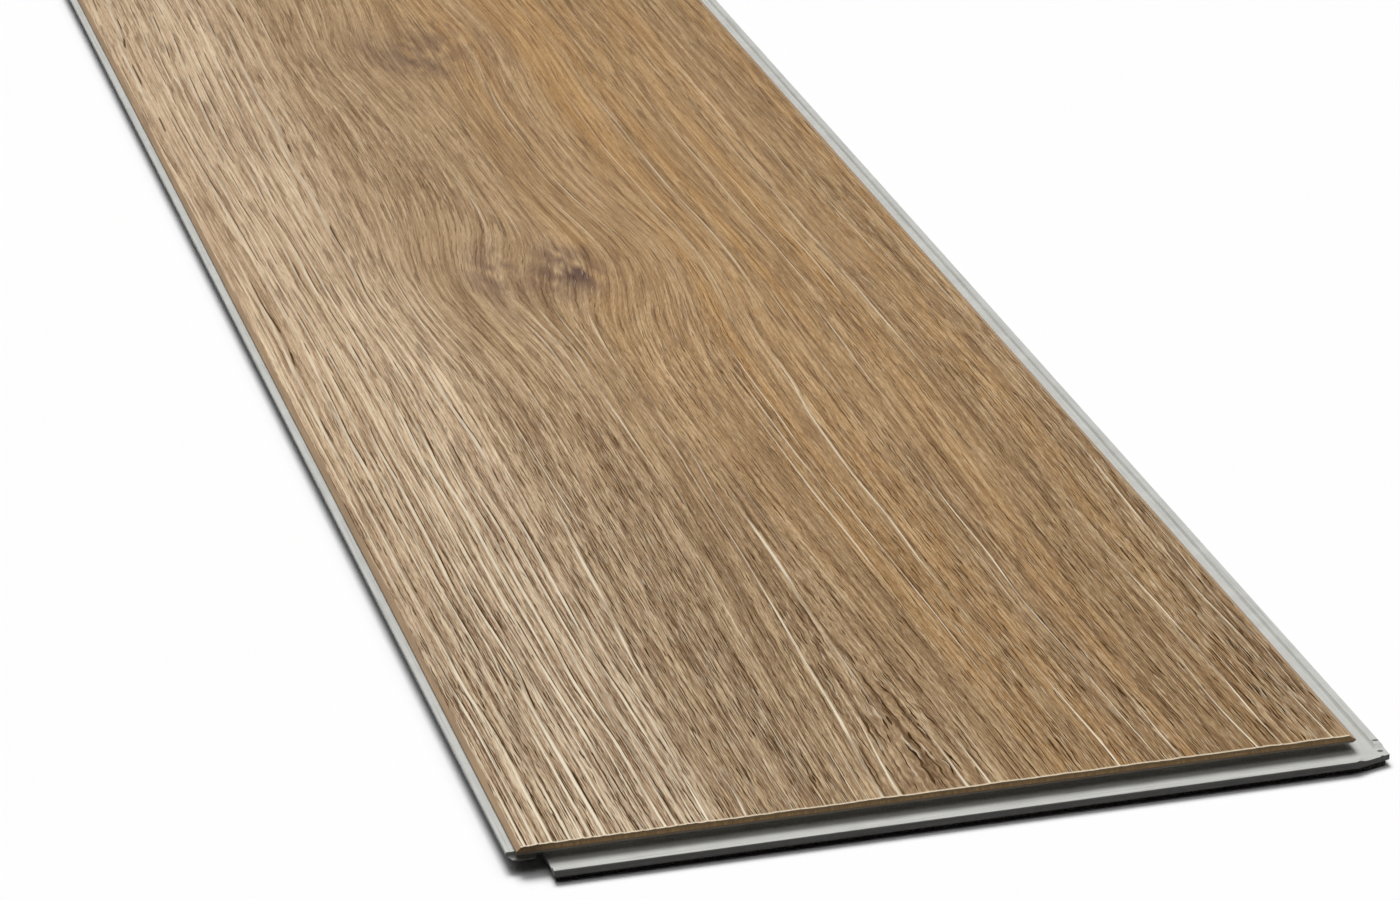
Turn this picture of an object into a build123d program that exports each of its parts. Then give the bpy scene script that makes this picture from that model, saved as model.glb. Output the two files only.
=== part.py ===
"""A rigid-core vinyl floor plank for herringbone laying: a printed face, a click board and a foam backing."""

from build123d import *
import os

# Face and layers, in millimetres. X runs across the plank, Y along it and Z up from the floor.
face_width = 150.0
face_length = 750.0
vinyl_thickness = 0.9
core_thickness = 3.1
foam_thickness = 1.0

# Bevels pressed along the two long edges of the face, the wider one over the lip
tongue_bevel_width = 0.75
tongue_bevel_depth = 0.7
lip_bevel_width = 1.2
lip_bevel_depth = 0.8

# Click lock. The near end and the right edge carry the hooked lip, the other two the tongue.
joint_clearance = 0.1
lip_reach = 5.1
lip_floor_thickness = 1.0
hook_width = 1.4
hook_height = 0.4
hook_run = 0.4
hook_round = 0.2
tongue_reach = 1.6
tongue_tip_height = 0.55
tongue_round = 0.3
groove_end_room = 0.15
groove_land_height = 0.4
long_lead_in = 0.5
short_lead_in = 0.0
heel_start = 0.8
lock_headroom = 0.3
lock_wall_chamfer = 0.4

# The corner where the two lips meet is cut off at a slant, and where a lip ends the core's foot is notched back.
corner_clip_across = 7.0
corner_clip_along = 2.1
foot_notch = 0.9
foam_setback = 0.8

# The cutters run this far past the stock.
overrun = 10.0

# Heights above the floor
core_bottom = foam_thickness
core_top = core_bottom + core_thickness
face_top = core_top + vinyl_thickness
groove_ceiling = core_top - groove_land_height
lip_floor = core_bottom + lip_floor_thickness
hook_top = lip_floor + hook_height
heel_bottom = lip_floor + joint_clearance
tongue_top = groove_ceiling - joint_clearance
tongue_tip_foot = tongue_top - tongue_tip_height
groove_wall_foot = tongue_tip_foot - joint_clearance
lock_ceiling = hook_top + lock_headroom

# Distances from an edge of the face, outward on a lip edge and inward on a tongue edge
hook_shoulder = lip_reach - hook_width
hook_foot = hook_shoulder - hook_run
heel_end = hook_foot - joint_clearance
heel_wall = hook_shoulder - joint_clearance
lock_wall = lip_reach + joint_clearance
groove_depth = tongue_reach + groove_end_room

half_width = face_width / 2
half_length = face_length / 2


def edge_plane(outward, half_span):
    """A section plane on one edge of the face: its X points outward and its Y up."""
    up = Vector(0, 0, 1)
    return Plane(origin=outward * half_span, x_dir=outward, z_dir=outward.cross(up))


def lip_edge_waste(edge, lead_in):
    """What the cutters take off a lip edge: the groove, the channel before the hook and the rounded tip."""
    tip_top = hook_top - hook_round
    tip_foot = core_bottom + hook_round
    with BuildSketch(edge) as waste:
        with BuildLine():
            rocker = TangentArc((heel_start, lip_floor), (-groove_depth, groove_wall_foot), tangent=(-1, 0))
            Polyline(
                rocker @ 1,
                (-groove_depth, groove_ceiling),
                (-lead_in, groove_ceiling),
                (0, core_top),
                (0, core_top + overrun),
                (lip_reach + overrun, core_top + overrun),
                (lip_reach + overrun, tip_top),
                (lip_reach, tip_top),
            )
            TangentArc((lip_reach - hook_round, hook_top), (lip_reach, tip_top), tangent=(1, 0))
            Polyline(
                (lip_reach - hook_round, hook_top),
                (hook_shoulder, hook_top),
                (hook_foot, lip_floor),
                rocker @ 0,
            )
        make_face()
        with BuildLine():
            TangentArc((lip_reach, tip_foot), (lip_reach - hook_round, core_bottom), tangent=(0, -1))
            Polyline(
                (lip_reach - hook_round, core_bottom),
                (lip_reach - hook_round, core_bottom - overrun),
                (lip_reach + overrun, core_bottom - overrun),
                (lip_reach + overrun, tip_foot),
                (lip_reach, tip_foot),
            )
        make_face()
    return waste.sketch


def tongue_edge_waste(edge):
    """What the cutters take off a tongue edge: all above the tongue, and below it up to the locking wall."""
    tip_shoulder = tongue_top - tongue_round
    with BuildSketch(edge) as waste:
        with BuildLine():
            TangentArc((tongue_reach - tongue_round, tongue_top), (tongue_reach, tip_shoulder), tangent=(1, 0))
            Polyline(
                (tongue_reach, tip_shoulder),
                (tongue_reach + overrun, tip_shoulder),
                (tongue_reach + overrun, core_top + overrun),
                (0, core_top + overrun),
                (0, tongue_top),
                (tongue_reach - tongue_round, tongue_top),
            )
        make_face()
        with BuildLine():
            rocker = TangentArc((-heel_start, heel_bottom), (tongue_reach, tongue_tip_foot), tangent=(1, 0))
            Polyline(
                rocker @ 1,
                (tongue_reach + overrun, tongue_tip_foot),
                (tongue_reach + overrun, core_bottom - overrun),
                (-lock_wall - lock_wall_chamfer, core_bottom - overrun),
                (-lock_wall - lock_wall_chamfer, core_bottom),
                (-lock_wall, core_bottom + lock_wall_chamfer),
                (-lock_wall, lock_ceiling),
                (-heel_wall, lock_ceiling),
                (-heel_wall, hook_top + joint_clearance),
                (-heel_end, heel_bottom),
                rocker @ 0,
            )
        make_face()
    return waste.sketch


def corner_waste():
    """The slanted cut where the two lips meet."""
    corner_x = half_width + lip_reach
    corner_y = -half_length - lip_reach
    with BuildSketch() as waste:
        with BuildLine():
            Polyline(
                (corner_x, corner_y),
                (corner_x, corner_y + corner_clip_along),
                (corner_x - corner_clip_across, corner_y),
                close=True,
            )
        make_face()
    return waste.sketch


# Printed vinyl face
with BuildPart() as printed_vinyl_layer:
    with BuildSketch(Plane.XZ):
        with BuildLine():
            Polyline(
                (-half_width, core_top),
                (half_width, core_top),
                (half_width, face_top - lip_bevel_depth),
                (half_width - lip_bevel_width, face_top),
                (tongue_bevel_width - half_width, face_top),
                (-half_width, face_top - tongue_bevel_depth),
                close=True,
            )
        make_face()
    extrude(amount=half_length, both=True)

# Rigid core board, milled along its four edges
with BuildPart() as rigid_core_board:
    with BuildSketch(Plane.XY.offset(core_bottom)):
        with BuildLine():
            Polyline(
                (-half_width - tongue_reach, -half_length - lip_reach),
                (half_width + lip_reach, -half_length - lip_reach),
                (half_width + lip_reach, half_length + tongue_reach),
                (-half_width - tongue_reach, half_length + tongue_reach),
                close=True,
            )
        make_face()
    extrude(amount=core_thickness)

    right = edge_plane(Vector(1, 0, 0), half_width)
    left = edge_plane(Vector(-1, 0, 0), half_width)
    near = edge_plane(Vector(0, -1, 0), half_length)
    far = edge_plane(Vector(0, 1, 0), half_length)
    along = half_length + overrun
    across = half_width + overrun
    right_waste = lip_edge_waste(right, long_lead_in)
    near_waste = lip_edge_waste(near, short_lead_in)
    left_waste = tongue_edge_waste(left)
    far_waste = tongue_edge_waste(far)
    extrude(right_waste, amount=along, both=True, mode=Mode.SUBTRACT)
    extrude(left_waste, amount=along, both=True, mode=Mode.SUBTRACT)
    extrude(near_waste, amount=across, both=True, mode=Mode.SUBTRACT)
    extrude(far_waste, amount=across, both=True, mode=Mode.SUBTRACT)

    # The lips stop at the locking walls of the tongue edges, and their shared corner is slanted.
    with BuildSketch():
        with Locations((lock_wall - half_width, foot_notch - half_length)):
            Rectangle(lock_wall + overrun, lip_reach + overrun, align=(Align.MAX, Align.MAX))
        with Locations((half_width - foot_notch, half_length - lock_wall)):
            Rectangle(lip_reach + overrun, lock_wall + overrun, align=(Align.MIN, Align.MIN))
    extrude(amount=groove_wall_foot, mode=Mode.SUBTRACT)
    extrude(corner_waste(), amount=face_top, mode=Mode.SUBTRACT)

# Foam underlay, stuck to the underside and set back from the lips
foam_left = lock_wall + lock_wall_chamfer - half_width
foam_right = half_width + lip_reach - foam_setback
foam_near = foam_setback - half_length - lip_reach
foam_far = half_length - lock_wall - lock_wall_chamfer
with BuildPart() as foam_underlay:
    with BuildSketch():
        with BuildLine():
            Polyline(
                (foam_left, foam_near),
                (foam_right, foam_near),
                (foam_right, foam_far),
                (foam_left, foam_far),
                close=True,
            )
        make_face()
    extrude(amount=foam_thickness)
    extrude(corner_waste(), amount=foam_thickness, mode=Mode.SUBTRACT)

printed_vinyl_layer.part.label = "printed_vinyl_layer"
rigid_core_board.part.label = "rigid_core_board"
foam_underlay.part.label = "foam_underlay"

os.makedirs("parts", exist_ok=True)
export_step(printed_vinyl_layer.part, "parts/printed_vinyl_layer.step")
export_step(rigid_core_board.part, "parts/rigid_core_board.step")
export_step(foam_underlay.part, "parts/foam_underlay.step")
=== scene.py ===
"""Finishes a herringbone vinyl floor plank: an embossed wood-print face, a milled core board and a foam backing."""

import math
from collections import namedtuple

import bpy
import numpy as np
from bpy.props import FloatProperty, FloatVectorProperty, IntProperty, PointerProperty
from mathutils import Matrix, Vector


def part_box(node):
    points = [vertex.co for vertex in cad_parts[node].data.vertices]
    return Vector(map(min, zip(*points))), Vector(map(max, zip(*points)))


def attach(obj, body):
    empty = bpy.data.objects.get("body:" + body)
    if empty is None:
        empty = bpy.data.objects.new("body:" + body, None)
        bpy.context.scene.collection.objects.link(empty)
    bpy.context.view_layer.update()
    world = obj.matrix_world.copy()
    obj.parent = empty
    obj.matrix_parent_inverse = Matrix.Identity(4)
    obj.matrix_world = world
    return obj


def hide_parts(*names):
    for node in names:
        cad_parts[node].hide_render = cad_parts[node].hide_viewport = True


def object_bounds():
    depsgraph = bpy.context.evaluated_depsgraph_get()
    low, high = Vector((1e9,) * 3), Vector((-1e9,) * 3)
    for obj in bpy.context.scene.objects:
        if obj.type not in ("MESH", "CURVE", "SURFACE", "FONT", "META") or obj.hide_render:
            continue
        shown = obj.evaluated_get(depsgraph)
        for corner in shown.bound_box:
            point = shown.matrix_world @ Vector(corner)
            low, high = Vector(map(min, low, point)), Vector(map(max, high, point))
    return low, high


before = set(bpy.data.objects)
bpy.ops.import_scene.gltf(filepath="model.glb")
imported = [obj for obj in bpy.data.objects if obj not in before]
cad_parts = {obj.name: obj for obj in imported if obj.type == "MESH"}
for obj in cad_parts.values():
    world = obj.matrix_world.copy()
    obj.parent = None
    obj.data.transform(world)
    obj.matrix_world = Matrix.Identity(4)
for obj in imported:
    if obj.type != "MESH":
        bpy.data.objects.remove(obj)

bl_info = {
    "name": "Herringbone vinyl plank",
    "version": (1, 0, 0),
    "blender": (4, 5, 0),
    "location": "View3D > Sidebar > Plank",
    "description": "Builds the visible pieces of a click-lock vinyl plank over its CAD frame",
    "category": "Object",
}

MM = 0.001
CAD_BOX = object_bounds()
VINYL_LOW, VINYL_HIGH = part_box("printed_vinyl_layer")
CORE_LOW, CORE_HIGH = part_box("rigid_core_board")
FOAM_LOW, FOAM_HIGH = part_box("foam_underlay")

# The cells of the lattice of random numbers, and how far each of its columns is slid along the next.
NOISE_LATTICE = (97, 89)
NOISE_SLANT = 0.63

# Places along the face, in millimetres: the print is strongest up to the first and calmest from the second on.
STRONG_GRAIN, CALM_GRAIN = -370, -60

# Material slots of the vinyl face
PRINT, BEVEL, SAWN = range(3)

# A place where the grain spreads apart. Lengths are in millimetres on the face, from its middle.
# push is the share by which the grain at the middle is opened up, and drift how far the grain moves to the left
# on its way past, towards the near end.
Swell = namedtuple("Swell", "x y push drift across along")
GRAIN_SWELLS = (
    Swell(-7, -101, 0.55, 5, 25, 38),
    Swell(-2, 64, 0.35, 0, 22, 34),
    Swell(-2, -405, 0.62, 0, 17, 120),
    Swell(12, 262, 0.60, 0, 26, 60),
)

# Dark ovals across the hook at the slanted corner, where its crest steps: middle and half-sizes in millimetres.
DarkSpot = namedtuple("DarkSpot", "x y across along")
HOOK_DARK_SPOTS = (
    DarkSpot(79.5, -372.7, 0.75, 0.4),
    DarkSpot(79.0, -376.3, 0.6, 0.5),
)

# Dark brown stains of the knots: middle, half-sizes and strength.
Stain = namedtuple("Stain", "x y across along strength")
KNOT_STAINS = (
    Stain(-3, -101, 8.5, 16.0, 1.4),
    Stain(-18, -101, 7.0, 18.0, 0.9),
    Stain(-9, -101, 17.0, 20.0, 0.35),
    Stain(-2, 62, 15.0, 20.0, 0.80),
    Stain(12, 262, 6.0, 10.0, 1.2),
)


def linear(hex_colour):
    """The linear colour of an sRGB hex value such as #B29C83."""
    shares = [int(hex_colour[i:i + 2], 16) / 255 for i in (1, 3, 5)]
    return tuple(s / 12.92 if s <= 0.04045 else ((s + 0.055) / 1.055) ** 2.4 for s in shares)


def colour(name, hex_colour, description):
    """A colour property with an sRGB hex default."""
    return FloatVectorProperty(
        name=name, description=description, subtype="COLOR", size=3, min=0, max=1, default=linear(hex_colour)
    )


def length(name, millimetres, description):
    """A length property with a default in millimetres."""
    return FloatProperty(name=name, description=description, unit="LENGTH", default=millimetres * MM)


class PlankFaceSettings(bpy.types.PropertyGroup):
    """Sizes and colours of the printed, embossed face."""

    tongue_bevel_width: length("Tongue bevel width", 0.75, "Width of the bevel over the tongue")
    tongue_bevel_depth: length("Tongue bevel depth", 0.7, "Depth of the bevel over the tongue")
    lip_bevel_width: length("Lip bevel width", 1.2, "Width of the bevel over the lip")
    lip_bevel_depth: length("Lip bevel depth", 0.8, "Depth of the bevel over the lip")
    relief: length("Relief", 0.3, "Depth of the pressed grain")
    # The rim is partly a painted highlight along the sawn ends, where the burr catches the light.
    rim: length("Rim", 0.8, "Width of the pale rim along the sawn ends")
    burr: length("Burr", 0.05, "Height of the burr along the sawn ends")
    columns: IntProperty(name="Columns", description="Points across the face", default=420, min=2)
    rows: IntProperty(name="Rows", description="Points along the face", default=214, min=2)
    ridge_spacing: length("Ridge spacing", 2.3, "Mean distance between raised grain lines")
    pale: colour("Pale wood", "#B4997A", "Print colour of the pale sapwood side")
    brown: colour("Brown wood", "#917450", "Print colour of the brown heartwood side")
    gold: colour("Golden wood", "#A57F50", "Print colour of the golden streaks")
    fibre: colour("Light fibres", "#CFB288", "Print colour of the lighter fibres")
    shade: colour("Dark fibres", "#654728", "Print colour of the darker fibres")
    # The raised-grain colour also paints the highlights on the crests, the glints and the rim.
    ridge: colour("Raised grain", "#F0E2C8", "Print colour on the raised grain lines")
    # The pore colour also paints the shadow in the groove beside each ridge.
    pore: colour("Pores", "#35230F", "Print colour in the pores and grooves")
    stain: colour("Knots", "#664B3D", "Print colour of the knots")
    bevel: colour("Painted bevel", "#B5997A", "Paint on the bevels")
    body: colour("Vinyl body", "#D9B07C", "Coloured vinyl seen on the cut ends")


class PlankCoreSettings(bpy.types.PropertyGroup):
    """Colours of the milled core board."""

    board: colour("Board", "#C5C5C0", "Limestone-filled board where it is milled")
    mark: colour("Cutter marks", "#8E8C88", "Darker lines left by the cutters")
    # Dark spots across the hook at the slanted corner, where its crest steps.
    dark_spot: colour("Nicks", "#3C3B38", "Tool nicks across the hook")
    # The land is tinted brown towards its top, below the vinyl.
    land: colour("Land", "#98795A", "The land above the groove, brown from the vinyl's glue")


class PlankFoamSettings(bpy.types.PropertyGroup):
    """Sizes and colours of the foam backing."""

    corner_across: length("Corner across", 7.0, "Reach of the slanted corner cut across the board")
    corner_along: length("Corner along", 2.1, "Reach of the slanted corner cut along the board")
    outline_points: IntProperty(name="Outline points", description="Points round the sheet", default=900, min=8)
    edge_round: length("Edge rounding", 0.15, "Rounding of the cut foam edge")
    waver: length("Edge waver", 0.08, "How far the cut edge wanders")
    cell: length("Cell size", 0.35, "Size of the foam's cells")
    foam: colour("Foam", "#958E8B", "Closed-cell foam")
    dark: colour("Cell shadows", "#615C5A", "The hollows between the foam's cells")


class PlankStageSettings(bpy.types.PropertyGroup):
    """Camera, lamps and floor."""

    camera_place: FloatVectorProperty(
        name="Camera place", description="Camera position", unit="LENGTH", size=3,
        default=(-238.04 * MM, -1172.92 * MM, 403.83 * MM),
    )
    heading: FloatProperty(
        name="Heading", description="Camera heading, clockwise from +Y", unit="ROTATION", default=math.radians(13.842)
    )
    pitch: FloatProperty(
        name="Pitch", description="Camera tilt below the horizon", unit="ROTATION", default=math.radians(21.927)
    )
    roll: FloatProperty(name="Roll", description="Camera roll", unit="ROTATION", default=math.radians(1.505))
    lens: FloatProperty(name="Lens", description="Focal length on a 36 mm sensor, in millimetres", default=138.24)
    key_strength: FloatProperty(name="Key", description="Strength of the soft key lamp", default=2.3)
    key_height: FloatProperty(
        name="Key height", description="Key lamp's angle above the horizon", unit="ROTATION", default=math.radians(60)
    )
    key_side: FloatProperty(
        name="Key side", description="Key lamp's angle to the left of +Y", unit="ROTATION", default=math.radians(0)
    )
    key_softness: FloatProperty(
        name="Key softness", description="Angle that the key lamp fills", unit="ROTATION", default=math.radians(28)
    )
    sky_lean: FloatProperty(
        name="Sky lean", description="Overhead light's lean to +Y", unit="ROTATION", default=math.radians(15)
    )
    sky_edge: FloatProperty(name="Sky edge", description="Cosine of the overhead light's half-angle", default=0.7)
    sky_dim: FloatProperty(name="Room", description="Strength of the room outside the overhead light", default=0.01)
    sky_bright: FloatProperty(name="Sky", description="Strength at the middle of the overhead light", default=1.4)
    floor_reach: FloatProperty(name="Floor reach", description="Half the floor's width", unit="LENGTH", default=6.0)
    floor_drop: length("Floor drop", 0.05, "Gap between the part and the floor")
    floor: colour("Floor", "#FDFDFD", "Pale floor")
    floor_bounce: colour("Floor bounce", "#464646", "The floor as the object's light sees it")


def add_node(tree, kind, inputs=None, **settings):
    """Adds a node with its settings. An input takes a value, a socket, or a node for its first output in use.

    Inputs are numbered where their names repeat. On a Mix node 0 is the share, and the two values are 2 and 3 for
    numbers, 4 and 5 for vectors and 6 and 7 for colours. On a Map Range node 0 is the value, 1 and 2 are the range
    that it comes from and 3 and 4 the range that it goes to.
    """
    node = tree.nodes.new(kind)
    for name, value in settings.items():
        setattr(node, name, value)
    for key, value in (inputs or {}).items():
        if isinstance(value, bpy.types.Node):
            value = next(out for out in value.outputs if out.enabled)
        if isinstance(value, bpy.types.NodeSocket):
            tree.links.new(value, node.inputs[key])
        else:
            node.inputs[key].default_value = value
    return node


def new_material(name):
    """An empty node material with its shader and output joined, as (material, tree, shader)."""
    material = bpy.data.materials.new(name)
    material.use_nodes = True
    tree = material.node_tree
    tree.nodes.clear()
    shader = add_node(tree, "ShaderNodeBsdfPrincipled")
    add_node(tree, "ShaderNodeOutputMaterial", {"Surface": shader})
    return material, tree, shader


def smooth_noise(u, v, seed):
    """Value noise from 0 to 1: random numbers on a slanted lattice, blended by 3t^2 - 2t^3 in both directions.

    u and v count the lattice's cells: a length over the size of a feature, plus a shift to another part of it.
    """
    table = np.random.default_rng(seed).random(NOISE_LATTICE)
    wide, long = NOISE_LATTICE
    v = v + NOISE_SLANT * u
    low_u, low_v = np.floor(u).astype(int), np.floor(v).astype(int)
    share_u, share_v = u - low_u, v - low_v
    share_u = share_u * share_u * (3 - 2 * share_u)
    share_v = share_v * share_v * (3 - 2 * share_v)
    left, right = low_u % wide, (low_u + 1) % wide
    near, far = low_v % long, (low_v + 1) % long
    near_value = table[left, near] * (1 - share_u) + table[right, near] * share_u
    far_value = table[left, far] * (1 - share_u) + table[right, far] * share_u
    return near_value * (1 - share_v) + far_value * share_v


def smoothstep(low, high, value):
    """0 below low, 1 above high and 3t^2 - 2t^3 between them."""
    t = np.clip((value - low) / (high - low), 0, 1)
    return t * t * (3 - 2 * t)


def hill(value, middle, half_width):
    """A bell curve, exp(-((value - middle) / half_width)^2)."""
    return np.exp(-(((value - middle) / half_width) ** 2))


def grain_flow(x, y):
    """Grain coordinates in millimetres: u is constant along a grain line, and v, which is y, runs along it.

    u is x with a slow wander, less push * (x - middle) times a bell round each swell, so the lines part round it, and
    less drift times a bell across it and a soft step along it, so that the lines come out of it farther to the left.
    """
    u = x + 3.0 * (smooth_noise(x / 55 + 9, y / 130 + 9, 3) - 0.5)
    for swell in GRAIN_SWELLS:
        bell = hill(x, swell.x, swell.across) * hill(y, swell.y, swell.along)
        past = smoothstep(swell.y - swell.along, swell.y + swell.along, y) - 0.5
        u = u - swell.push * (x - swell.x) * bell - swell.drift * hill(x, swell.x, swell.across) * past
    return u, y


def clear_of_knots(x, y, across, along):
    """1 away from the knots, less a bell of these half-sizes on each, and never below 0.1."""
    return np.clip(1 - sum(hill(x, knot.x, across) * hill(y, knot.y, along) for knot in KNOT_STAINS), 0.1, 1)


def raised_grain(x, y, u, v, spacing):
    """Ridge phase and strength: a ridge runs where the phase passes a whole number and a half.

    The phase is u over the spacing. One noise spaces the ridges unevenly and a second makes them wander.
    The strength is how strongly that part of the face is pressed, more or less by noise along each ridge: most on the
    left, and some in the middle up to the first knot. It fades near the knots.
    """
    phase = u / spacing + 1.3 * (smooth_noise(u / 6 + 10, v / 260 + 30, 5) - 0.5)
    phase = phase + 0.5 * (smooth_noise(u / 10 + 40, v / 26 + 60, 37) - 0.5)
    along = smooth_noise(np.floor(phase) + 200, v / 90 + 40, 7)
    middle = 0.5 * hill(x, -10, 7) * (1 - smoothstep(-130, -90, y))
    zone = 0.05 + 1.2 * hill(x, -56, 17) - 0.2 * hill(x, -27, 10) + middle
    return phase, np.clip(zone + 1.5 * (along - 0.5), 0, 1) * clear_of_knots(x, y, 10, 20)


def pressed_height(u, v, phase, strength):
    """Height of the pressed grain over the CAD plane, as a share of the relief.

    It adds 0.4 of a bell on each ridge, 0.6 of slow waves and 0.3 of fibres, the last two to both sides of the plane.
    """
    crest = strength * hill(phase - np.floor(phase), 0.5, 0.14)
    fibres = smooth_noise(u / 1.3 + 500, v / 26 + 60, 19)
    waves = smooth_noise(u / 4.5 + 300, v / 80 + 20, 31)
    return 0.4 * crest + 0.6 * (waves - 0.5) + 0.3 * (fibres - 0.5)


def wood_tones(x, y, u, v):
    """How pale, how golden and how stained the print is, each from 0 to 1.

    Paleness falls in two steps from the left edge, more or less by noise. Gold is streaky noise on the right, less
    along the right edge. Stains are bells at the knots, made ragged by noise.
    """
    pale = 0.6 * (1 - smoothstep(-50, -31, x)) + 0.4 * (1 - smoothstep(-42, 25, x))
    pale = pale + 0.4 * (smooth_noise(u / 7 + 30, v / 170 + 3, 11) - 0.5)
    gold = 0.3 + 0.7 * smoothstep(0.3, 0.9, smooth_noise(u / 4 + 70, v / 110 + 20, 13))
    gold = gold * smoothstep(-12, 20, x) * (1 - 0.4 * smoothstep(42, 62, x))
    ragged = smoothstep(0.05, 0.7, smooth_noise(x / 2.4 + 50, y / 5 + 50, 17))
    ragged = ragged * (0.5 + 0.7 * smooth_noise(x / 5 + 20, y / 14 + 20, 41))
    stain = np.zeros_like(x)
    for spot in KNOT_STAINS:
        stain = np.maximum(stain, spot.strength * ragged * hill(x, spot.x, spot.across) * hill(y, spot.y, spot.along))
    return np.clip(pale, 0, 1), np.clip(gold, 0, 1), np.clip(stain, 0, 1)


def open_pores(x, y, u, v):
    """How many pores are open, from 0 to 1: most left of the middle and along the right edge, in streaks of noise.

    There are few round the knots.
    """
    zone = 0.2 + 0.12 * hill(x, -62, 18) + 0.3 * hill(x, -27, 15) + 0.25 * hill(x, 68, 9)
    zone = np.clip(zone + 0.6 * (smooth_noise(u / 6 + 90, v / 50 + 70, 29) - 0.5), 0, 1)
    return zone * clear_of_knots(x, y, 15, 32)


def painted_shade_and_sheen(x, y):
    """How light the face is: darker at the near end, a painted shade, and rising from there on to a painted sheen. It
    falls along the right edge.

    A bell across the middle lifts it past the near end, and the left half is lifted at the near end.
    """
    light = 0.96 + 0.26 * smoothstep(-360, -140, y) - 0.05 * smoothstep(45, 65, x)
    light = light + 0.06 * hill(x, -5, 22) * smoothstep(-240, -160, y)
    return light + 0.045 * (1 - smoothstep(-5, 15, x)) * (1 - smoothstep(-340, -250, y))


def grid_faces(rows, columns):
    """Corner numbers of the quads of a grid whose points are stored row by row."""
    corner = np.arange(rows * columns).reshape(rows, columns)
    quads = np.stack((corner[:-1, :-1], corner[:-1, 1:], corner[1:, 1:], corner[1:, :-1]), axis=-1)
    return quads.reshape(-1, 4)


def new_piece(name, points, faces, materials, face_materials):
    """A mesh object at the origin, riding on the plank, from points in metres."""
    mesh = bpy.data.meshes.new(name)
    mesh.from_pydata(points.tolist(), [], faces)
    for material in materials:
        mesh.materials.append(material)
    mesh.polygons.foreach_set("material_index", np.asarray(face_materials, dtype=np.int32))
    mesh.validate()
    mesh.update()
    piece = bpy.data.objects.new(name, mesh)
    bpy.context.scene.collection.objects.link(piece)
    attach(piece, "root")
    return piece


def add_point_vectors(piece, name, values):
    """Stores one vector a point as a named attribute."""
    attribute = piece.data.attributes.new(name, "FLOAT_VECTOR", "POINT")
    attribute.data.foreach_set("vector", np.ascontiguousarray(values, dtype=np.float32).ravel())


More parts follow.
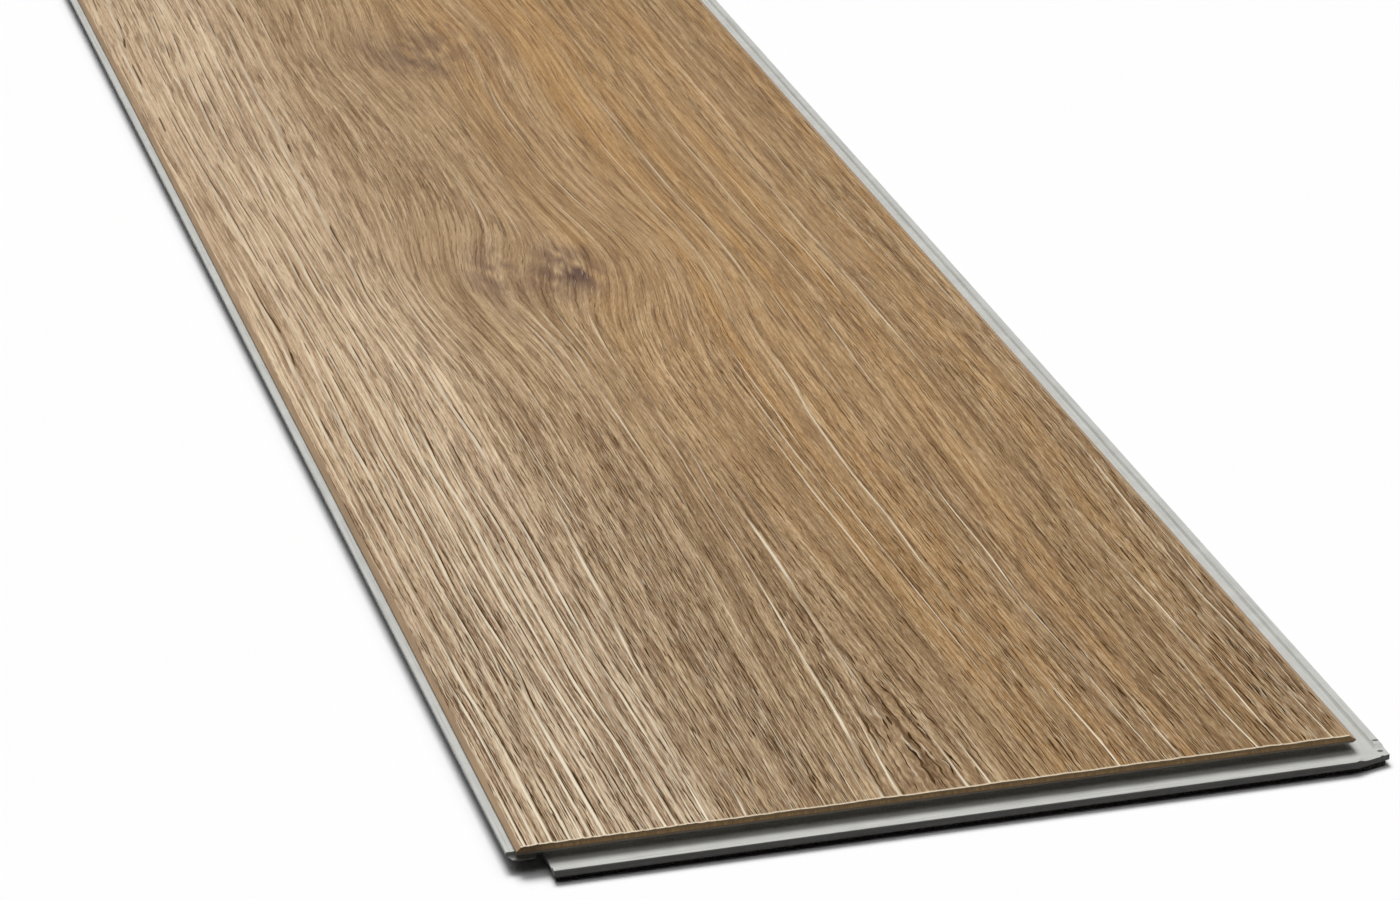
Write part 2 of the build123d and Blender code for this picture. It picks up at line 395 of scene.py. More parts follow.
def embossed_oak_print(settings):
    """Printed and pressed vinyl: a satin lacquer over a printed oak, with raised lines that catch the light, and
    painted highlights and shadows along them.

    The grain attributes carry the layout, in millimetres along the grain, and noise draws the fine lines in it.
    """
    material, tree, shader = new_material("embossed_oak_print")
    flow = add_node(tree, "ShaderNodeAttribute", attribute_name="grain_flow").outputs["Vector"]
    ridge = add_node(tree, "ShaderNodeAttribute", attribute_name="grain_ridge").outputs["Vector"]
    tone = add_node(tree, "ShaderNodeAttribute", attribute_name="grain_tone").outputs["Vector"]
    along = add_node(tree, "ShaderNodeSeparateXYZ", {0: flow})
    # The third part of the flow is a painted shade at the near end and a painted sheen farther on.
    light = along.outputs[2]
    ridge = add_node(tree, "ShaderNodeSeparateXYZ", {0: ridge})
    tone = add_node(tree, "ShaderNodeSeparateXYZ", {0: tone})

    # Each noise is turned after it is stretched, so that its own rows don't show across the face.
    turned = (0, 0, 0.6)

    # Short sideways jolts, in millimetres, keep the short lines from running dead straight.
    jolt = add_node(tree, "ShaderNodeMapping", {"Vector": flow, "Rotation": turned, "Scale": (0.8, 0.22, 0)})
    jolt = add_node(
        tree, "ShaderNodeTexNoise", {"Vector": jolt, "Scale": 1, "Detail": 1}, noise_dimensions="2D"
    ).outputs[0]
    jolt = add_node(tree, "ShaderNodeMapRange", {0: jolt, 1: 0, 2: 1, 3: -0.2, 4: 0.2})
    jolt = add_node(tree, "ShaderNodeCombineXYZ", {0: jolt})
    jolted = add_node(tree, "ShaderNodeVectorMath", {0: flow, 1: jolt}, operation="ADD")

    # Noise stretched along the grain: course, place, width and length of a feature in millimetres, and detail
    noises = {}
    for name, course, place, wide, long, detail in (
        ("bands", flow, 0, 6, 150, 1),
        ("streaks", flow, 50, 1.3, 90, 1),
        ("lines", flow, 100, 0.55, 70, 1),
        ("flecks", flow, 150, 1.5, 22, 1),
        ("fibres", jolted, 200, 0.34, 14, 1),
        ("grit", jolted, 300, 0.24, 3, 1),
        ("pores", jolted, 400, 0.24, 9, 0),
        ("glints", jolted, 500, 0.26, 8, 0),
        ("splits", jolted, 700, 0.34, 26, 0),
        ("breaks", flow, 600, 1.6, 18, 0),
        ("wear", flow, 800, 0.9, 40, 0),
        ("dashes", jolted, 900, 0.9, 18, 0),
    ):
        spot = add_node(
            tree, "ShaderNodeMapping",
            {
                "Vector": course, "Location": (place, place, 0),
                "Rotation": turned, "Scale": (1 / wide, 1 / long, 0),
            },
        )
        noises[name] = add_node(
            tree, "ShaderNodeTexNoise", {"Vector": spot, "Scale": 1, "Detail": detail, "Roughness": 0.55},
            noise_dimensions="2D",
        ).outputs[0]

    # Raised lines: a painted highlight along the crest where it isn't worn, partly the print's pale grain, and a
    # painted shadow in a broken dark groove on the right, in the pores' colour
    side = add_node(tree, "ShaderNodeMath", {0: ridge.outputs[0]}, operation="FRACT")
    side = add_node(tree, "ShaderNodeMath", {0: side, 1: 0.5}, operation="SUBTRACT")
    off_crest = add_node(tree, "ShaderNodeMath", {0: side}, operation="ABSOLUTE")
    reach = add_node(tree, "ShaderNodeMath", {0: ridge.outputs[1], 1: 0.17}, operation="MULTIPLY")
    reach = add_node(tree, "ShaderNodeMath", {0: reach, 1: off_crest}, operation="SUBTRACT")
    crest = add_node(
        tree, "ShaderNodeMapRange", {0: reach, 1: 0, 2: 0.09, 3: 0, 4: 1}, interpolation_type="SMOOTHSTEP"
    )
    whole = add_node(tree, "ShaderNodeMapRange", {0: noises["wear"], 1: 0.36, 2: 0.56, 3: 0.3, 4: 1})
    crest = add_node(tree, "ShaderNodeMath", {0: crest, 1: whole}, operation="MULTIPLY")
    off_groove = add_node(tree, "ShaderNodeMath", {0: side, 1: 0.2}, operation="SUBTRACT")
    off_groove = add_node(tree, "ShaderNodeMath", {0: off_groove}, operation="ABSOLUTE")
    groove_shadow = add_node(
        tree, "ShaderNodeMapRange", {0: off_groove, 1: 0.025, 2: 0.075, 3: 1, 4: 0}, interpolation_type="SMOOTHSTEP"
    )
    groove_shadow = add_node(tree, "ShaderNodeMath", {0: groove_shadow, 1: ridge.outputs[1]}, operation="MULTIPLY")
    broken = add_node(tree, "ShaderNodeMapRange", {0: noises["breaks"], 1: 0.48, 2: 0.56, 3: 0.1, 4: 1})
    groove_shadow = add_node(tree, "ShaderNodeMath", {0: groove_shadow, 1: broken}, operation="MULTIPLY")

    # Pores are short dark lines of the print. Glints are short light ones, painted highlights. Both are more common
    # where the pores are open.
    low = add_node(tree, "ShaderNodeMapRange", {0: ridge.outputs[2], 1: 0, 2: 1, 3: 0.2, 4: 0.42})
    pores = add_node(tree, "ShaderNodeMath", {0: low, 1: noises["pores"]}, operation="SUBTRACT")
    pores = add_node(tree, "ShaderNodeMapRange", {0: pores, 1: 0, 2: 0.06, 3: 0, 4: 1})
    glints = add_node(tree, "ShaderNodeMath", {0: low, 1: noises["glints"]}, operation="ADD")
    glints = add_node(tree, "ShaderNodeMapRange", {0: glints, 1: 1, 2: 1.08, 3: 0, 4: 0.42})
    splits = add_node(tree, "ShaderNodeMapRange", {0: noises["splits"], 1: 0.27, 2: 0.21, 3: 0, 4: 0.8})

    # Dashes are broader and softer than pores, and show less at the near end.
    dashes = add_node(tree, "ShaderNodeMapRange", {0: ridge.outputs[2], 1: 0, 2: 1, 3: 0.3, 4: 0.52})
    dashes = add_node(tree, "ShaderNodeMath", {0: dashes, 1: noises["dashes"]}, operation="SUBTRACT")
    dashes = add_node(tree, "ShaderNodeMapRange", {0: dashes, 1: 0, 2: 0.1, 3: 0, 4: 0.45})
    shown = add_node(tree, "ShaderNodeMapRange", {0: along.outputs[1], 1: STRONG_GRAIN, 2: -200, 3: 0.4, 4: 1})
    dashes = add_node(tree, "ShaderNodeMath", {0: dashes, 1: shown}, operation="MULTIPLY")

    # The grain is stronger at the near end and calmer past the first knot, the painted groove shadows and broad
    # streaks the least.
    calm, firm = (
        add_node(tree, "ShaderNodeMapRange", {0: along.outputs[1], 1: STRONG_GRAIN, 2: CALM_GRAIN, 3: 1, 4: least})
        for least in (0.4, 0.8)
    )
    # The dark share holds the print's pores and splits and the painted groove shadow. The bright share holds the
    # painted highlights of crests and glints, partly the print's pale grain.
    dark = add_node(tree, "ShaderNodeMath", {0: pores, 1: splits}, operation="MAXIMUM")
    dark = add_node(tree, "ShaderNodeMath", {0: dark, 1: calm}, operation="MULTIPLY")
    groove_shadow = add_node(tree, "ShaderNodeMath", {0: groove_shadow, 1: firm}, operation="MULTIPLY")
    dark = add_node(tree, "ShaderNodeMath", {0: dark, 1: groove_shadow}, operation="MAXIMUM")
    highlight_and_pale_grain = add_node(tree, "ShaderNodeMath", {0: crest, 1: glints}, operation="MAXIMUM")
    highlight_and_pale_grain = add_node(tree, "ShaderNodeMath", {0: highlight_and_pale_grain, 1: calm}, operation="MULTIPLY")

    # Print colours: the wood, with darker and lighter fibres along the grain
    wood = add_node(
        tree, "ShaderNodeMix", {0: tone.outputs[0], 6: (*settings.brown, 1), 7: (*settings.pale, 1)}, data_type="RGBA"
    )
    wood = add_node(tree, "ShaderNodeMix", {0: tone.outputs[1], 6: wood, 7: (*settings.gold, 1)}, data_type="RGBA")
    long_lines = add_node(tree, "ShaderNodeMapRange", {0: tone.outputs[0], 1: 0, 2: 1, 3: 0.4, 4: 0.9})
    short_lines = add_node(tree, "ShaderNodeMapRange", {0: ridge.outputs[2], 1: 0, 2: 1, 3: 0.4, 4: 0.8})
    contrasts = {
        "bands": (0.2, firm), "streaks": (0.4, firm), "lines": (long_lines, calm),
        "flecks": (0.12, firm), "fibres": (short_lines, calm), "grit": (0.45, calm),
    }
    level = 0.0
    for name, (contrast, fade) in contrasts.items():
        crisp = add_node(
            tree, "ShaderNodeMapRange", {0: noises[name], 1: 0.34, 2: 0.66, 3: -0.5, 4: 0.5},
            interpolation_type="SMOOTHSTEP",
        )
        crisp = add_node(tree, "ShaderNodeMath", {0: crisp, 1: fade}, operation="MULTIPLY")
        level = add_node(tree, "ShaderNodeMath", {0: crisp, 1: contrast, 2: level}, operation="MULTIPLY_ADD")
    darker = add_node(tree, "ShaderNodeMapRange", {0: level, 1: 0, 2: -0.8, 3: 0, 4: 1})
    lighter = add_node(tree, "ShaderNodeMapRange", {0: level, 1: 0, 2: 0.8, 3: 0, 4: 0.8})
    wood = add_node(tree, "ShaderNodeMix", {0: darker, 6: wood, 7: (*settings.shade, 1)}, data_type="RGBA")
    cream = add_node(tree, "ShaderNodeMath", {0: tone.outputs[0], 1: 0.6}, operation="MULTIPLY")
    fibre = add_node(
        tree, "ShaderNodeMix", {0: cream, 6: (*settings.fibre, 1), 7: (*settings.ridge, 1)}, data_type="RGBA"
    )
    wood = add_node(tree, "ShaderNodeMix", {0: lighter, 6: wood, 7: fibre}, data_type="RGBA")
    # The print is scaled by the painted shade and sheen.
    wood = add_node(tree, "ShaderNodeVectorMath", {0: wood.outputs[2], "Scale": light}, operation="SCALE")
    wood = add_node(
        tree, "ShaderNodeMix", {0: tone.outputs[2], 6: wood, 7: (*settings.stain, 1)}, data_type="RGBA"
    )
    wood = add_node(tree, "ShaderNodeMix", {0: dashes, 6: wood, 7: (*settings.shade, 1)}, data_type="RGBA")
    wood = add_node(tree, "ShaderNodeMix", {0: dark, 6: wood, 7: (*settings.pore, 1)}, data_type="RGBA")

    # A pale rim along the sawn ends: the burr's pale wear layer, with a painted highlight where it catches the light
    place = add_node(tree, "ShaderNodeTexCoord").outputs["Object"]
    end = add_node(tree, "ShaderNodeSeparateXYZ", {0: place}).outputs[1]
    end = add_node(tree, "ShaderNodeMath", {0: end}, operation="ABSOLUTE")
    rim = add_node(
        tree, "ShaderNodeMapRange",
        {0: end, 1: VINYL_HIGH.y - settings.rim, 2: VINYL_HIGH.y - 0.5 * settings.rim, 3: 0, 4: 0.65},
    )
    highlight_and_pale_grain = add_node(tree, "ShaderNodeMath", {0: highlight_and_pale_grain, 1: rim}, operation="MAXIMUM")
    wood = add_node(tree, "ShaderNodeMix", {0: highlight_and_pale_grain, 6: wood, 7: (*settings.ridge, 1)}, data_type="RGBA")
    tree.links.new(wood.outputs[2], shader.inputs["Base Color"])

    # Pressed grain finer than the mesh
    height = add_node(tree, "ShaderNodeMath", {0: highlight_and_pale_grain, 1: dark}, operation="SUBTRACT")
    height = add_node(tree, "ShaderNodeMath", {0: noises["fibres"], 1: 0.8, 2: height}, operation="MULTIPLY_ADD")
    bump = add_node(tree, "ShaderNodeBump", {"Height": height, "Strength": 0.5, "Distance": 0.12 * MM})
    tree.links.new(bump.outputs[0], shader.inputs["Normal"])
    rough = add_node(tree, "ShaderNodeMapRange", {0: dark, 1: 0, 2: 1, 3: 0.48, 4: 0.7})
    tree.links.new(rough.outputs[0], shader.inputs["Roughness"])
    sheen = add_node(tree, "ShaderNodeMapRange", {0: dark, 1: 0, 2: 0.7, 3: 0.16, 4: 0})
    tree.links.new(sheen.outputs[0], shader.inputs["Specular IOR Level"])
    return material


def painted_bevel(settings):
    """Matt paint over the pressed bevel: an even tan with a faint streak along the edge."""
    material, tree, shader = new_material("painted_bevel")
    place = add_node(tree, "ShaderNodeTexCoord").outputs["Object"]
    place = add_node(tree, "ShaderNodeVectorMath", {0: place, 1: (900, 60, 900)}, operation="MULTIPLY")
    noise = add_node(tree, "ShaderNodeTexNoise", {"Vector": place, "Scale": 1, "Detail": 2})
    shade = add_node(tree, "ShaderNodeMapRange", {0: noise, 1: 0.3, 2: 0.7, 3: 0.86, 4: 1.12})
    paint = add_node(
        tree, "ShaderNodeVectorMath", {0: tuple(settings.bevel), "Scale": shade}, operation="SCALE"
    )
    tree.links.new(paint.outputs[0], shader.inputs["Base Color"])
    shader.inputs["Roughness"].default_value = 0.55
    shader.inputs["Specular IOR Level"].default_value = 0.3
    return material


def sawn_vinyl(settings, top):
    """Coloured PVC cut by a saw: plain brown with fine upright scratches, and pale along its top.

    The clear wear layer makes it pale, fading in from 0.42 to 0.2 mm below the top. Part of that pale is a painted
    highlight where the top edge catches the light.
    """
    material, tree, shader = new_material("sawn_vinyl")
    place = add_node(tree, "ShaderNodeTexCoord").outputs["Object"]
    fine = add_node(tree, "ShaderNodeVectorMath", {0: place, 1: (2500, 2500, 300)}, operation="MULTIPLY")
    noise = add_node(tree, "ShaderNodeTexNoise", {"Vector": fine, "Scale": 1, "Detail": 3})
    shade = add_node(tree, "ShaderNodeMapRange", {0: noise, 1: 0.3, 2: 0.7, 3: 0.72, 4: 1.2})
    body = add_node(tree, "ShaderNodeVectorMath", {0: tuple(settings.body), "Scale": shade}, operation="SCALE")
    level = add_node(tree, "ShaderNodeSeparateXYZ", {0: place})
    # Pale towards the top: the clear wear layer, partly a painted highlight along the top edge.
    wear = add_node(
        tree, "ShaderNodeMapRange", {0: level.outputs[2], 1: top - 0.42 * MM, 2: top - 0.2 * MM, 3: 0, 4: 0.75}
    )
    body = add_node(tree, "ShaderNodeMix", {0: wear, 6: body, 7: (*settings.pale, 1)}, data_type="RGBA")
    tree.links.new(body.outputs[2], shader.inputs["Base Color"])
    bump = add_node(tree, "ShaderNodeBump", {"Height": noise, "Strength": 0.4, "Distance": 0.05 * MM})
    tree.links.new(bump.outputs[0], shader.inputs["Normal"])
    shader.inputs["Roughness"].default_value = 0.6
    shader.inputs["Specular IOR Level"].default_value = 0.3
    return material


class PLANK_OT_vinyl_face(bpy.types.Operator):
    """Builds the embossed wood-print layer in place of its plain CAD sheet"""

    bl_idname = "plank.add_vinyl_face"
    bl_label = "Add vinyl face"

    def execute(self, context):
        settings = context.scene.plank_face
        columns, rows = settings.columns, settings.rows
        rim = settings.rim / MM
        spacing = settings.ridge_spacing / MM
        left, near, bottom = (value / MM for value in VINYL_LOW)
        right, far, top = (value / MM for value in VINYL_HIGH)

        # The face is a grid of heights about its CAD plane, with a burr at the sawn ends.
        edge_y = np.concatenate(([near], np.linspace(near + rim, far - rim, rows - 2), [far]))
        edge_x = np.linspace(left + settings.tongue_bevel_width / MM, right - settings.lip_bevel_width / MM, columns)
        x, y = np.meshgrid(edge_x, edge_y)
        u, v = grain_flow(x, y)
        phase, strength = raised_grain(x, y, u, v, spacing)
        z = top + settings.relief / MM * pressed_height(u, v, phase, strength)
        z[[0, -1]] += settings.burr / MM

        # A bevel line on each side makes each row of the grid reach from edge to edge.
        left_z = np.full(rows, top - settings.tongue_bevel_depth / MM)
        right_z = np.full(rows, top - settings.lip_bevel_depth / MM)
        row_x = np.column_stack((np.full(rows, left), x, np.full(rows, right)))
        row_y = np.column_stack((edge_y, y, edge_y))
        row_z = np.column_stack((left_z, z, right_z))
        across = columns + 2
        surface = np.stack((row_x, row_y, row_z), axis=-1).reshape(-1, 3)
        foot = np.array(((left, near, bottom), (right, near, bottom), (right, far, bottom), (left, far, bottom)))
        points = np.vstack((surface, foot)) * MM

        # Four upright sides share the grid's outer points, and one sheet closes the bottom.
        number = np.arange(rows * across).reshape(rows, across)
        a, b, c, d = range(rows * across, rows * across + 4)
        sides = [
            [b, a, *number[0].tolist()][::-1],
            [c, b, *number[:, -1].tolist()][::-1],
            [d, c, *number[-1, ::-1].tolist()][::-1],
            [a, d, *number[::-1, 0].tolist()][::-1],
            [a, d, c, b],
        ]
        faces = grid_faces(rows, across).tolist() + sides
        slots = np.full((rows - 1, across - 1), PRINT, dtype=np.int32)
        slots[:, 0] = slots[:, -1] = BEVEL
        face_slots = [*slots.ravel().tolist(), *[SAWN] * len(sides)]
        materials = [embossed_oak_print(settings), painted_bevel(settings), sawn_vinyl(settings, top * MM)]
        piece = new_piece("vinyl_face", points, faces, materials, face_slots)

        # The print is shaded smooth, and the edges of the bevels and the sawn ends stay sharp.
        smooth = np.zeros(len(faces), dtype=bool)
        smooth[:-len(sides)] = slots.ravel() == PRINT
        piece.data.polygons.foreach_set("use_smooth", smooth)
        border = np.ones((rows, across), dtype=bool)
        border[1:-1, 2:-2] = False
        border = np.append(border.ravel(), np.ones(len(foot), dtype=bool))
        ends = np.empty(len(piece.data.edges) * 2, dtype=np.int32)
        piece.data.edges.foreach_get("vertices", ends)
        piece.data.edges.foreach_set("use_edge_sharp", border[ends.reshape(-1, 2)].all(axis=1))

        # The print's layout goes with the points, for the material to read.
        row_u, row_v = grain_flow(row_x, row_y)
        phase, strength = raised_grain(row_x, row_y, row_u, row_v, spacing)
        blank = np.zeros((len(foot), 3))
        # The flow's third part carries the painted shade and sheen.
        layers = {
            "grain_flow": (row_u, row_v, painted_shade_and_sheen(row_x, row_y)),
            "grain_ridge": (phase, strength, open_pores(row_x, row_y, row_u, row_v)),
            "grain_tone": wood_tones(row_x, row_y, row_u, row_v),
        }
        for name, layer in layers.items():
            add_point_vectors(piece, name, np.vstack((np.stack(layer, axis=-1).reshape(-1, 3), blank)))
        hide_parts("printed_vinyl_layer")
        return {"FINISHED"}


def milled_core(settings):
    """Limestone-filled PVC, milled: a chalky light grey, satin, with fine cutter lines along each edge."""
    material, tree, shader = new_material("milled_limestone_pvc")
    place = add_node(tree, "ShaderNodeTexCoord").outputs["Object"]
    spot = add_node(tree, "ShaderNodeSeparateXYZ", {0: place})

    # Cutter lines run along the long edges, and across the plank at its two ends.
    along = add_node(tree, "ShaderNodeVectorMath", {0: place, 1: (3500, 40, 3500)}, operation="MULTIPLY")
    across = add_node(tree, "ShaderNodeVectorMath", {0: place, 1: (40, 3500, 3500)}, operation="MULTIPLY")
    end = add_node(tree, "ShaderNodeMath", {0: spot.outputs[1]}, operation="ABSOLUTE")
    end = add_node(tree, "ShaderNodeMath", {0: end, 1: VINYL_HIGH.y}, operation="GREATER_THAN")
    lines = add_node(tree, "ShaderNodeMix", {0: end, 4: along, 5: across}, data_type="VECTOR")
    lines = add_node(tree, "ShaderNodeTexNoise", {"Vector": lines, "Scale": 1, "Detail": 3})
    cloud = add_node(tree, "ShaderNodeTexNoise", {"Vector": place, "Scale": 220, "Detail": 4})
    grain = add_node(tree, "ShaderNodeTexNoise", {"Vector": place, "Scale": 5000, "Detail": 2})

    mark = add_node(tree, "ShaderNodeMapRange", {0: lines, 1: 0.5, 2: 0.8, 3: 0, 4: 0.6})
    board = add_node(
        tree, "ShaderNodeMix", {0: mark, 6: (*settings.board, 1), 7: (*settings.mark, 1)}, data_type="RGBA"
    )

    # The land under the vinyl is tinted brown towards its top.
    land = add_node(
        tree, "ShaderNodeMapRange",
        {0: spot.outputs[2], 1: CORE_HIGH.z - 0.45 * MM, 2: CORE_HIGH.z - 0.3 * MM, 3: 0, 4: 0.8},
    )
    board = add_node(tree, "ShaderNodeMix", {0: land, 6: board, 7: (*settings.land, 1)}, data_type="RGBA")

    # The dark spots are ovals seen from above: a vast size along z leaves the height out.
    for dark_spot in HOOK_DARK_SPOTS:
        inside = add_node(
            tree, "ShaderNodeMapping",
            {
                "Vector": place, "Location": (dark_spot.x * MM, dark_spot.y * MM, 0),
                "Scale": (dark_spot.across * MM, dark_spot.along * MM, 1e6),
            },
            vector_type="TEXTURE",
        )
        inside = add_node(tree, "ShaderNodeVectorMath", {0: inside}, operation="LENGTH").outputs["Value"]
        inside = add_node(tree, "ShaderNodeMapRange", {0: inside, 1: 0.7, 2: 1.1, 3: 0.9, 4: 0})
        board = add_node(tree, "ShaderNodeMix", {0: inside, 6: board, 7: (*settings.dark_spot, 1)}, data_type="RGBA")
    cloud = add_node(tree, "ShaderNodeMapRange", {0: cloud, 1: 0.3, 2: 0.7, 3: 0.93, 4: 1.05})
    grit = add_node(tree, "ShaderNodeMapRange", {0: grain, 1: 0.3, 2: 0.7, 3: 0.93, 4: 1.06})
    shade = add_node(tree, "ShaderNodeMath", {0: cloud, 1: grit}, operation="MULTIPLY")
    board = add_node(tree, "ShaderNodeVectorMath", {0: board, "Scale": shade}, operation="SCALE")
    tree.links.new(board.outputs[0], shader.inputs["Base Color"])
    bump = add_node(tree, "ShaderNodeBump", {"Height": lines, "Strength": 0.35, "Distance": 0.05 * MM})
    tree.links.new(bump.outputs[0], shader.inputs["Normal"])
    shader.inputs["Roughness"].default_value = 0.5
    shader.inputs["Specular IOR Level"].default_value = 0.4
    return material


class PLANK_OT_core_board(bpy.types.Operator):
    """Gives the milled core board its finish"""

    bl_idname = "plank.finish_core_board"
    bl_label = "Finish core board"

    def execute(self, context):
        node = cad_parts["rigid_core_board"]
        node.data.materials.clear()
        node.data.materials.append(milled_core(context.scene.plank_core))
        return {"FINISHED"}


def closed_cell_foam(settings):
    """Closed-cell polyethylene foam: a dull warm grey of fine cells, with faint streaks along the roll."""
    material, tree, shader = new_material("warm_grey_pe_foam")
    place = add_node(tree, "ShaderNodeTexCoord").outputs["Object"]
    cells = add_node(tree, "ShaderNodeTexVoronoi", {"Vector": place, "Scale": 1 / settings.cell})
    hollow = add_node(
        tree, "ShaderNodeMapRange", {0: cells.outputs["Distance"], 1: 0.2, 2: 0.75, 3: 0, 4: 1},
        interpolation_type="SMOOTHSTEP",
    )
    streak = add_node(tree, "ShaderNodeVectorMath", {0: place, 1: (450, 9, 450)}, operation="MULTIPLY")
    streak = add_node(tree, "ShaderNodeTexNoise", {"Vector": streak, "Scale": 1, "Detail": 3})
    streak = add_node(tree, "ShaderNodeMapRange", {0: streak, 1: 0.3, 2: 0.7, 3: 0.8, 4: 1.2})
    # The hollows are painted in the darker cell-shadow colour, a painted shade, and are also sunk by the bump.
    foam = add_node(
        tree, "ShaderNodeMix", {0: hollow, 6: (*settings.foam, 1), 7: (*settings.dark, 1)}, data_type="RGBA"
    )
    foam = add_node(tree, "ShaderNodeVectorMath", {0: foam, "Scale": streak}, operation="SCALE")
    tree.links.new(foam.outputs[0], shader.inputs["Base Color"])
    bump = add_node(
        tree, "ShaderNodeBump", {"Height": hollow, "Strength": 0.5, "Distance": 0.1 * MM}, invert=True
    )
    tree.links.new(bump.outputs[0], shader.inputs["Normal"])
    shader.inputs["Roughness"].default_value = 0.85
    shader.inputs["Specular IOR Level"].default_value = 0.2
    return material


class PLANK_OT_foam_backing(bpy.types.Operator):
    """Builds the foam backing, with its soft cut edge, in place of its plain CAD sheet"""

    bl_idname = "plank.add_foam_backing"
    bl_label = "Add foam backing"

    def execute(self, context):
        settings = context.scene.plank_foam
        left, near, bottom = (value / MM for value in FOAM_LOW)
        right, far, top = (value / MM for value in FOAM_HIGH)

        # The slanted cut through the board's corner takes the foam with it.
        slope = settings.corner_along / settings.corner_across
        clip_across = (settings.corner_across - (CORE_HIGH.x - FOAM_HIGH.x) - (FOAM_LOW.y - CORE_LOW.y) / slope) / MM
        corners = np.array((
            (left, near),
            (right - clip_across, near),
            (right, near + clip_across * slope),
            (right, far),
            (left, far),
            (left, near),
        ))

        # The outline is walked at an even step, and its points waver inwards by smooth noise.
        steps = np.hypot(*np.diff(corners, axis=0).T)
        walked = np.concatenate(([0], np.cumsum(steps)))
        even = np.linspace(0, walked[-1], settings.outline_points, endpoint=False)
        at = np.unique(np.concatenate((even, walked[:-1])))
        outline = np.column_stack([np.interp(at, walked, corners[:, axis]) for axis in (0, 1)])
        middle = np.array(((left + right) / 2, (near + far) / 2))
        inward = np.sign(middle - outline)
        waver = settings.waver / MM * smooth_noise(at / 2.5, 0 * at, 23)[:, None]

        # The edge's section is a rounded step: levels from bottom to top, each set in by a part of the rounding.
        rounding = settings.edge_round / MM
        levels = np.array((bottom, bottom + rounding, (bottom + top) / 2, top - rounding, top))
        set_in = np.array((rounding, 0.0, 0.4 * rounding, 0.0, 0.5 * rounding))
        rings = outline[None] + inward * (waver[None] + set_in[:, None, None])
        height = np.broadcast_to(levels[:, None, None], (*rings.shape[:2], 1))
        points = np.concatenate((rings, height), axis=-1).reshape(-1, 3) * MM

        around = len(at)
        number = np.arange(len(levels) * around).reshape(len(levels), around)
        closed = np.column_stack((number, number[:, 0]))
        quads = np.stack((closed[:-1, :-1], closed[:-1, 1:], closed[1:, 1:], closed[1:, :-1]), axis=-1)
        faces = [*quads.reshape(-1, 4).tolist(), number[0, ::-1].tolist(), number[-1].tolist()]
        piece = new_piece("foam_backing", points, faces, [closed_cell_foam(settings)], [0] * len(faces))
        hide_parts("foam_underlay")
        return {"FINISHED"}


def pale_floor(settings):
    """A pale matt floor. The camera sees it almost white, and it throws little light back on the plank's edges."""
    material, tree, shader = new_material("pale_floor")
    path = add_node(tree, "ShaderNodeLightPath")
    seen = add_node(
        tree, "ShaderNodeMath", {0: path.outputs["Is Camera Ray"], 1: path.outputs["Is Glossy Ray"]},
        operation="MAXIMUM",
    )
    floor = add_node(
        tree, "ShaderNodeMix", {0: seen, 6: (*settings.floor_bounce, 1), 7: (*settings.floor, 1)}, data_type="RGBA"
    )
    tree.links.new(floor.outputs[2], shader.inputs["Base Color"])
    shader.inputs["Roughness"].default_value = 1.0
    shader.inputs["Specular IOR Level"].default_value = 0.0
    return material


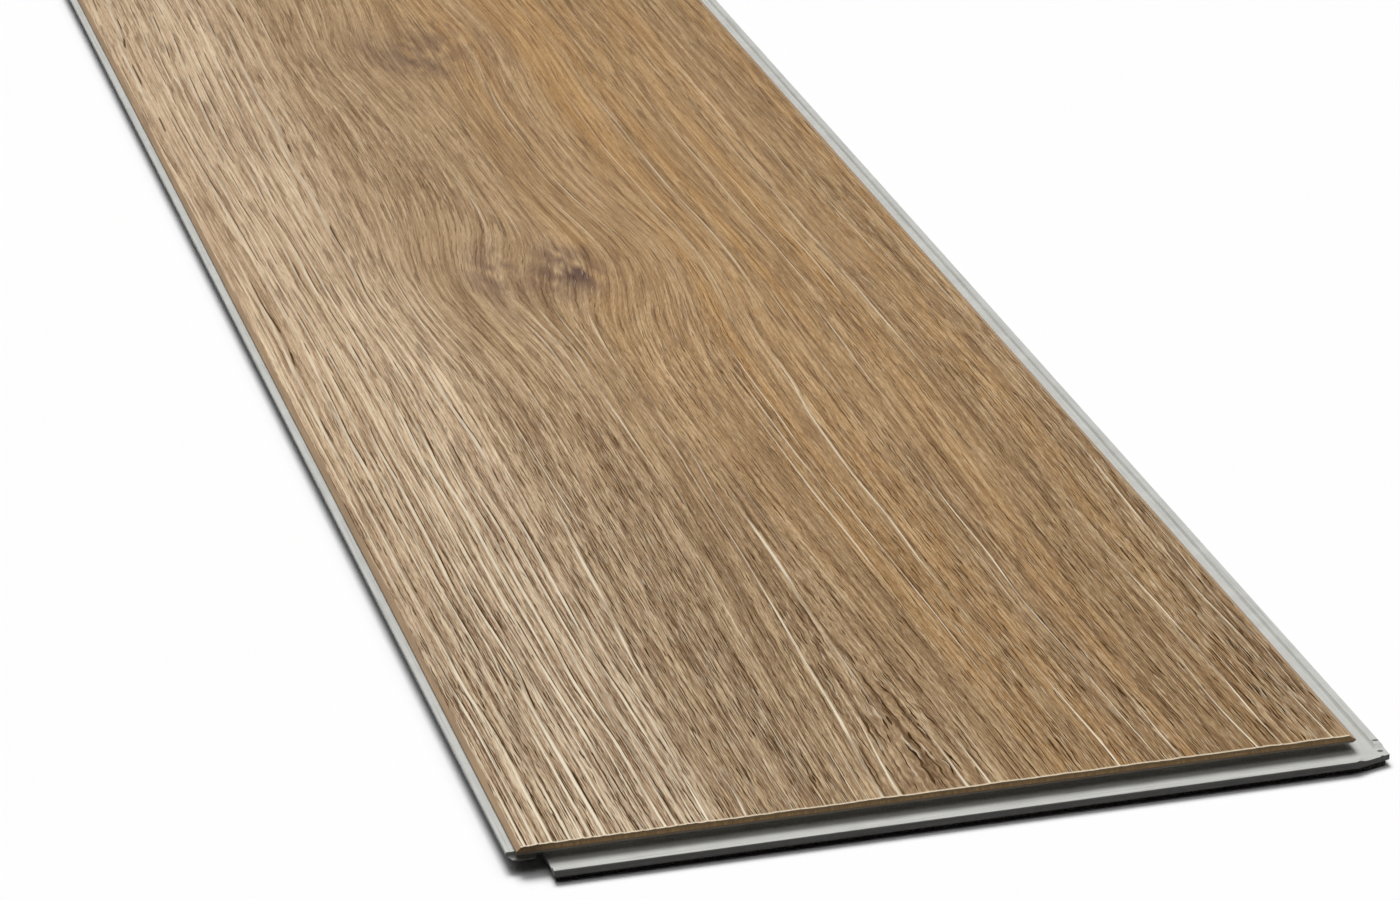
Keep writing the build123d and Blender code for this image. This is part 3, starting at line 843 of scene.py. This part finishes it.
class PLANK_OT_stage(bpy.types.Operator):
    """Sets the floor, the lamps, the world and the camera"""

    bl_idname = "plank.set_stage"
    bl_label = "Set stage"

    def execute(self, context):
        scene = context.scene
        settings = scene.plank_stage
        self.add_floor(scene, settings)
        self.add_lamps(scene, settings)
        self.set_world(scene, settings)
        self.add_camera(scene, settings)
        scene.view_settings.view_transform = "Standard"
        return {"FINISHED"}

    def add_floor(self, scene, settings):
        """A wide floor just under the part."""
        reach = settings.floor_reach
        mesh = bpy.data.meshes.new("floor")
        corners = ((-reach, -reach, 0), (reach, -reach, 0), (reach, reach, 0), (-reach, reach, 0))
        mesh.from_pydata(corners, [], [(0, 1, 2, 3)])
        mesh.materials.append(pale_floor(settings))
        floor = bpy.data.objects.new("floor", mesh)
        scene.collection.objects.link(floor)
        floor.location.z = CAD_BOX[0].z - settings.floor_drop

    def add_lamps(self, scene, settings):
        """One soft sun from behind the plank."""
        lamp = bpy.data.lights.new("key", "SUN")
        lamp.energy = settings.key_strength
        lamp.angle = settings.key_softness
        key = bpy.data.objects.new("key", lamp)
        turn = Matrix.Rotation(settings.key_side + math.pi, 4, "Z")
        tilt = Matrix.Rotation(math.pi / 2 - settings.key_height, 4, "X")
        key.matrix_world = turn @ tilt
        scene.collection.objects.link(key)

    def set_world(self, scene, settings):
        """A dim room with a wide soft light above the plank, leaning back, and white where the camera sees it."""
        world = bpy.data.worlds.new("studio")
        scene.world = world
        world.use_nodes = True
        tree = world.node_tree
        tree.nodes.clear()
        direction = add_node(tree, "ShaderNodeTexCoord").outputs["Generated"]
        above = (0, math.sin(settings.sky_lean), math.cos(settings.sky_lean))
        toward = add_node(tree, "ShaderNodeVectorMath", {0: direction, 1: above}, operation="DOT_PRODUCT")
        glow = add_node(
            tree, "ShaderNodeMapRange",
            {
                0: toward.outputs["Value"], 1: settings.sky_edge, 2: 1,
                3: settings.sky_dim, 4: settings.sky_bright,
            },
        )
        path = add_node(tree, "ShaderNodeLightPath")
        strength = add_node(
            tree, "ShaderNodeMix", {0: path.outputs["Is Camera Ray"], 2: glow, 3: 1.0}, data_type="FLOAT"
        )
        light = add_node(tree, "ShaderNodeBackground", {"Color": (1, 1, 1, 1), "Strength": strength})
        add_node(tree, "ShaderNodeOutputWorld", {"Surface": light})

    def add_camera(self, scene, settings):
        """The photograph's camera: turned, tilted and rolled at its place."""
        lens = bpy.data.cameras.new("camera")
        lens.lens = settings.lens
        lens.sensor_width = 36.0
        lens.clip_end = 50.0
        camera = bpy.data.objects.new("camera", lens)
        turn = Matrix.Rotation(-settings.heading, 4, "Z")
        tilt = Matrix.Rotation(math.pi / 2 - settings.pitch, 4, "X")
        roll = Matrix.Rotation(-settings.roll, 4, "Z")
        camera.matrix_world = Matrix.Translation(settings.camera_place) @ turn @ tilt @ roll
        scene.collection.objects.link(camera)
        scene.camera = camera


class PLANK_PT_sidebar(bpy.types.Panel):
    """Lists the plank's pieces and its stage"""

    bl_idname = "PLANK_PT_sidebar"
    bl_label = "Herringbone plank"
    bl_space_type = "VIEW_3D"
    bl_region_type = "UI"
    bl_category = "Plank"

    def draw(self, context):
        for operator in OPERATORS:
            self.layout.operator(operator.bl_idname)


OPERATORS = (PLANK_OT_vinyl_face, PLANK_OT_core_board, PLANK_OT_foam_backing, PLANK_OT_stage)
SETTINGS = {
    "plank_face": PlankFaceSettings,
    "plank_core": PlankCoreSettings,
    "plank_foam": PlankFoamSettings,
    "plank_stage": PlankStageSettings,
}


def register():
    for group in SETTINGS.values():
        bpy.utils.register_class(group)
    for name, group in SETTINGS.items():
        setattr(bpy.types.Scene, name, PointerProperty(type=group))
    for operator in OPERATORS:
        bpy.utils.register_class(operator)
    bpy.utils.register_class(PLANK_PT_sidebar)


def unregister():
    bpy.utils.unregister_class(PLANK_PT_sidebar)
    for operator in reversed(OPERATORS):
        bpy.utils.unregister_class(operator)
    for name in SETTINGS:
        delattr(bpy.types.Scene, name)
    for group in SETTINGS.values():
        bpy.utils.unregister_class(group)


def main():
    register()
    bpy.ops.plank.add_vinyl_face()
    bpy.ops.plank.finish_core_board()
    bpy.ops.plank.add_foam_backing()
    bpy.ops.plank.set_stage()
    bpy.context.view_layer.update()


if __name__ == "__main__":
    main()
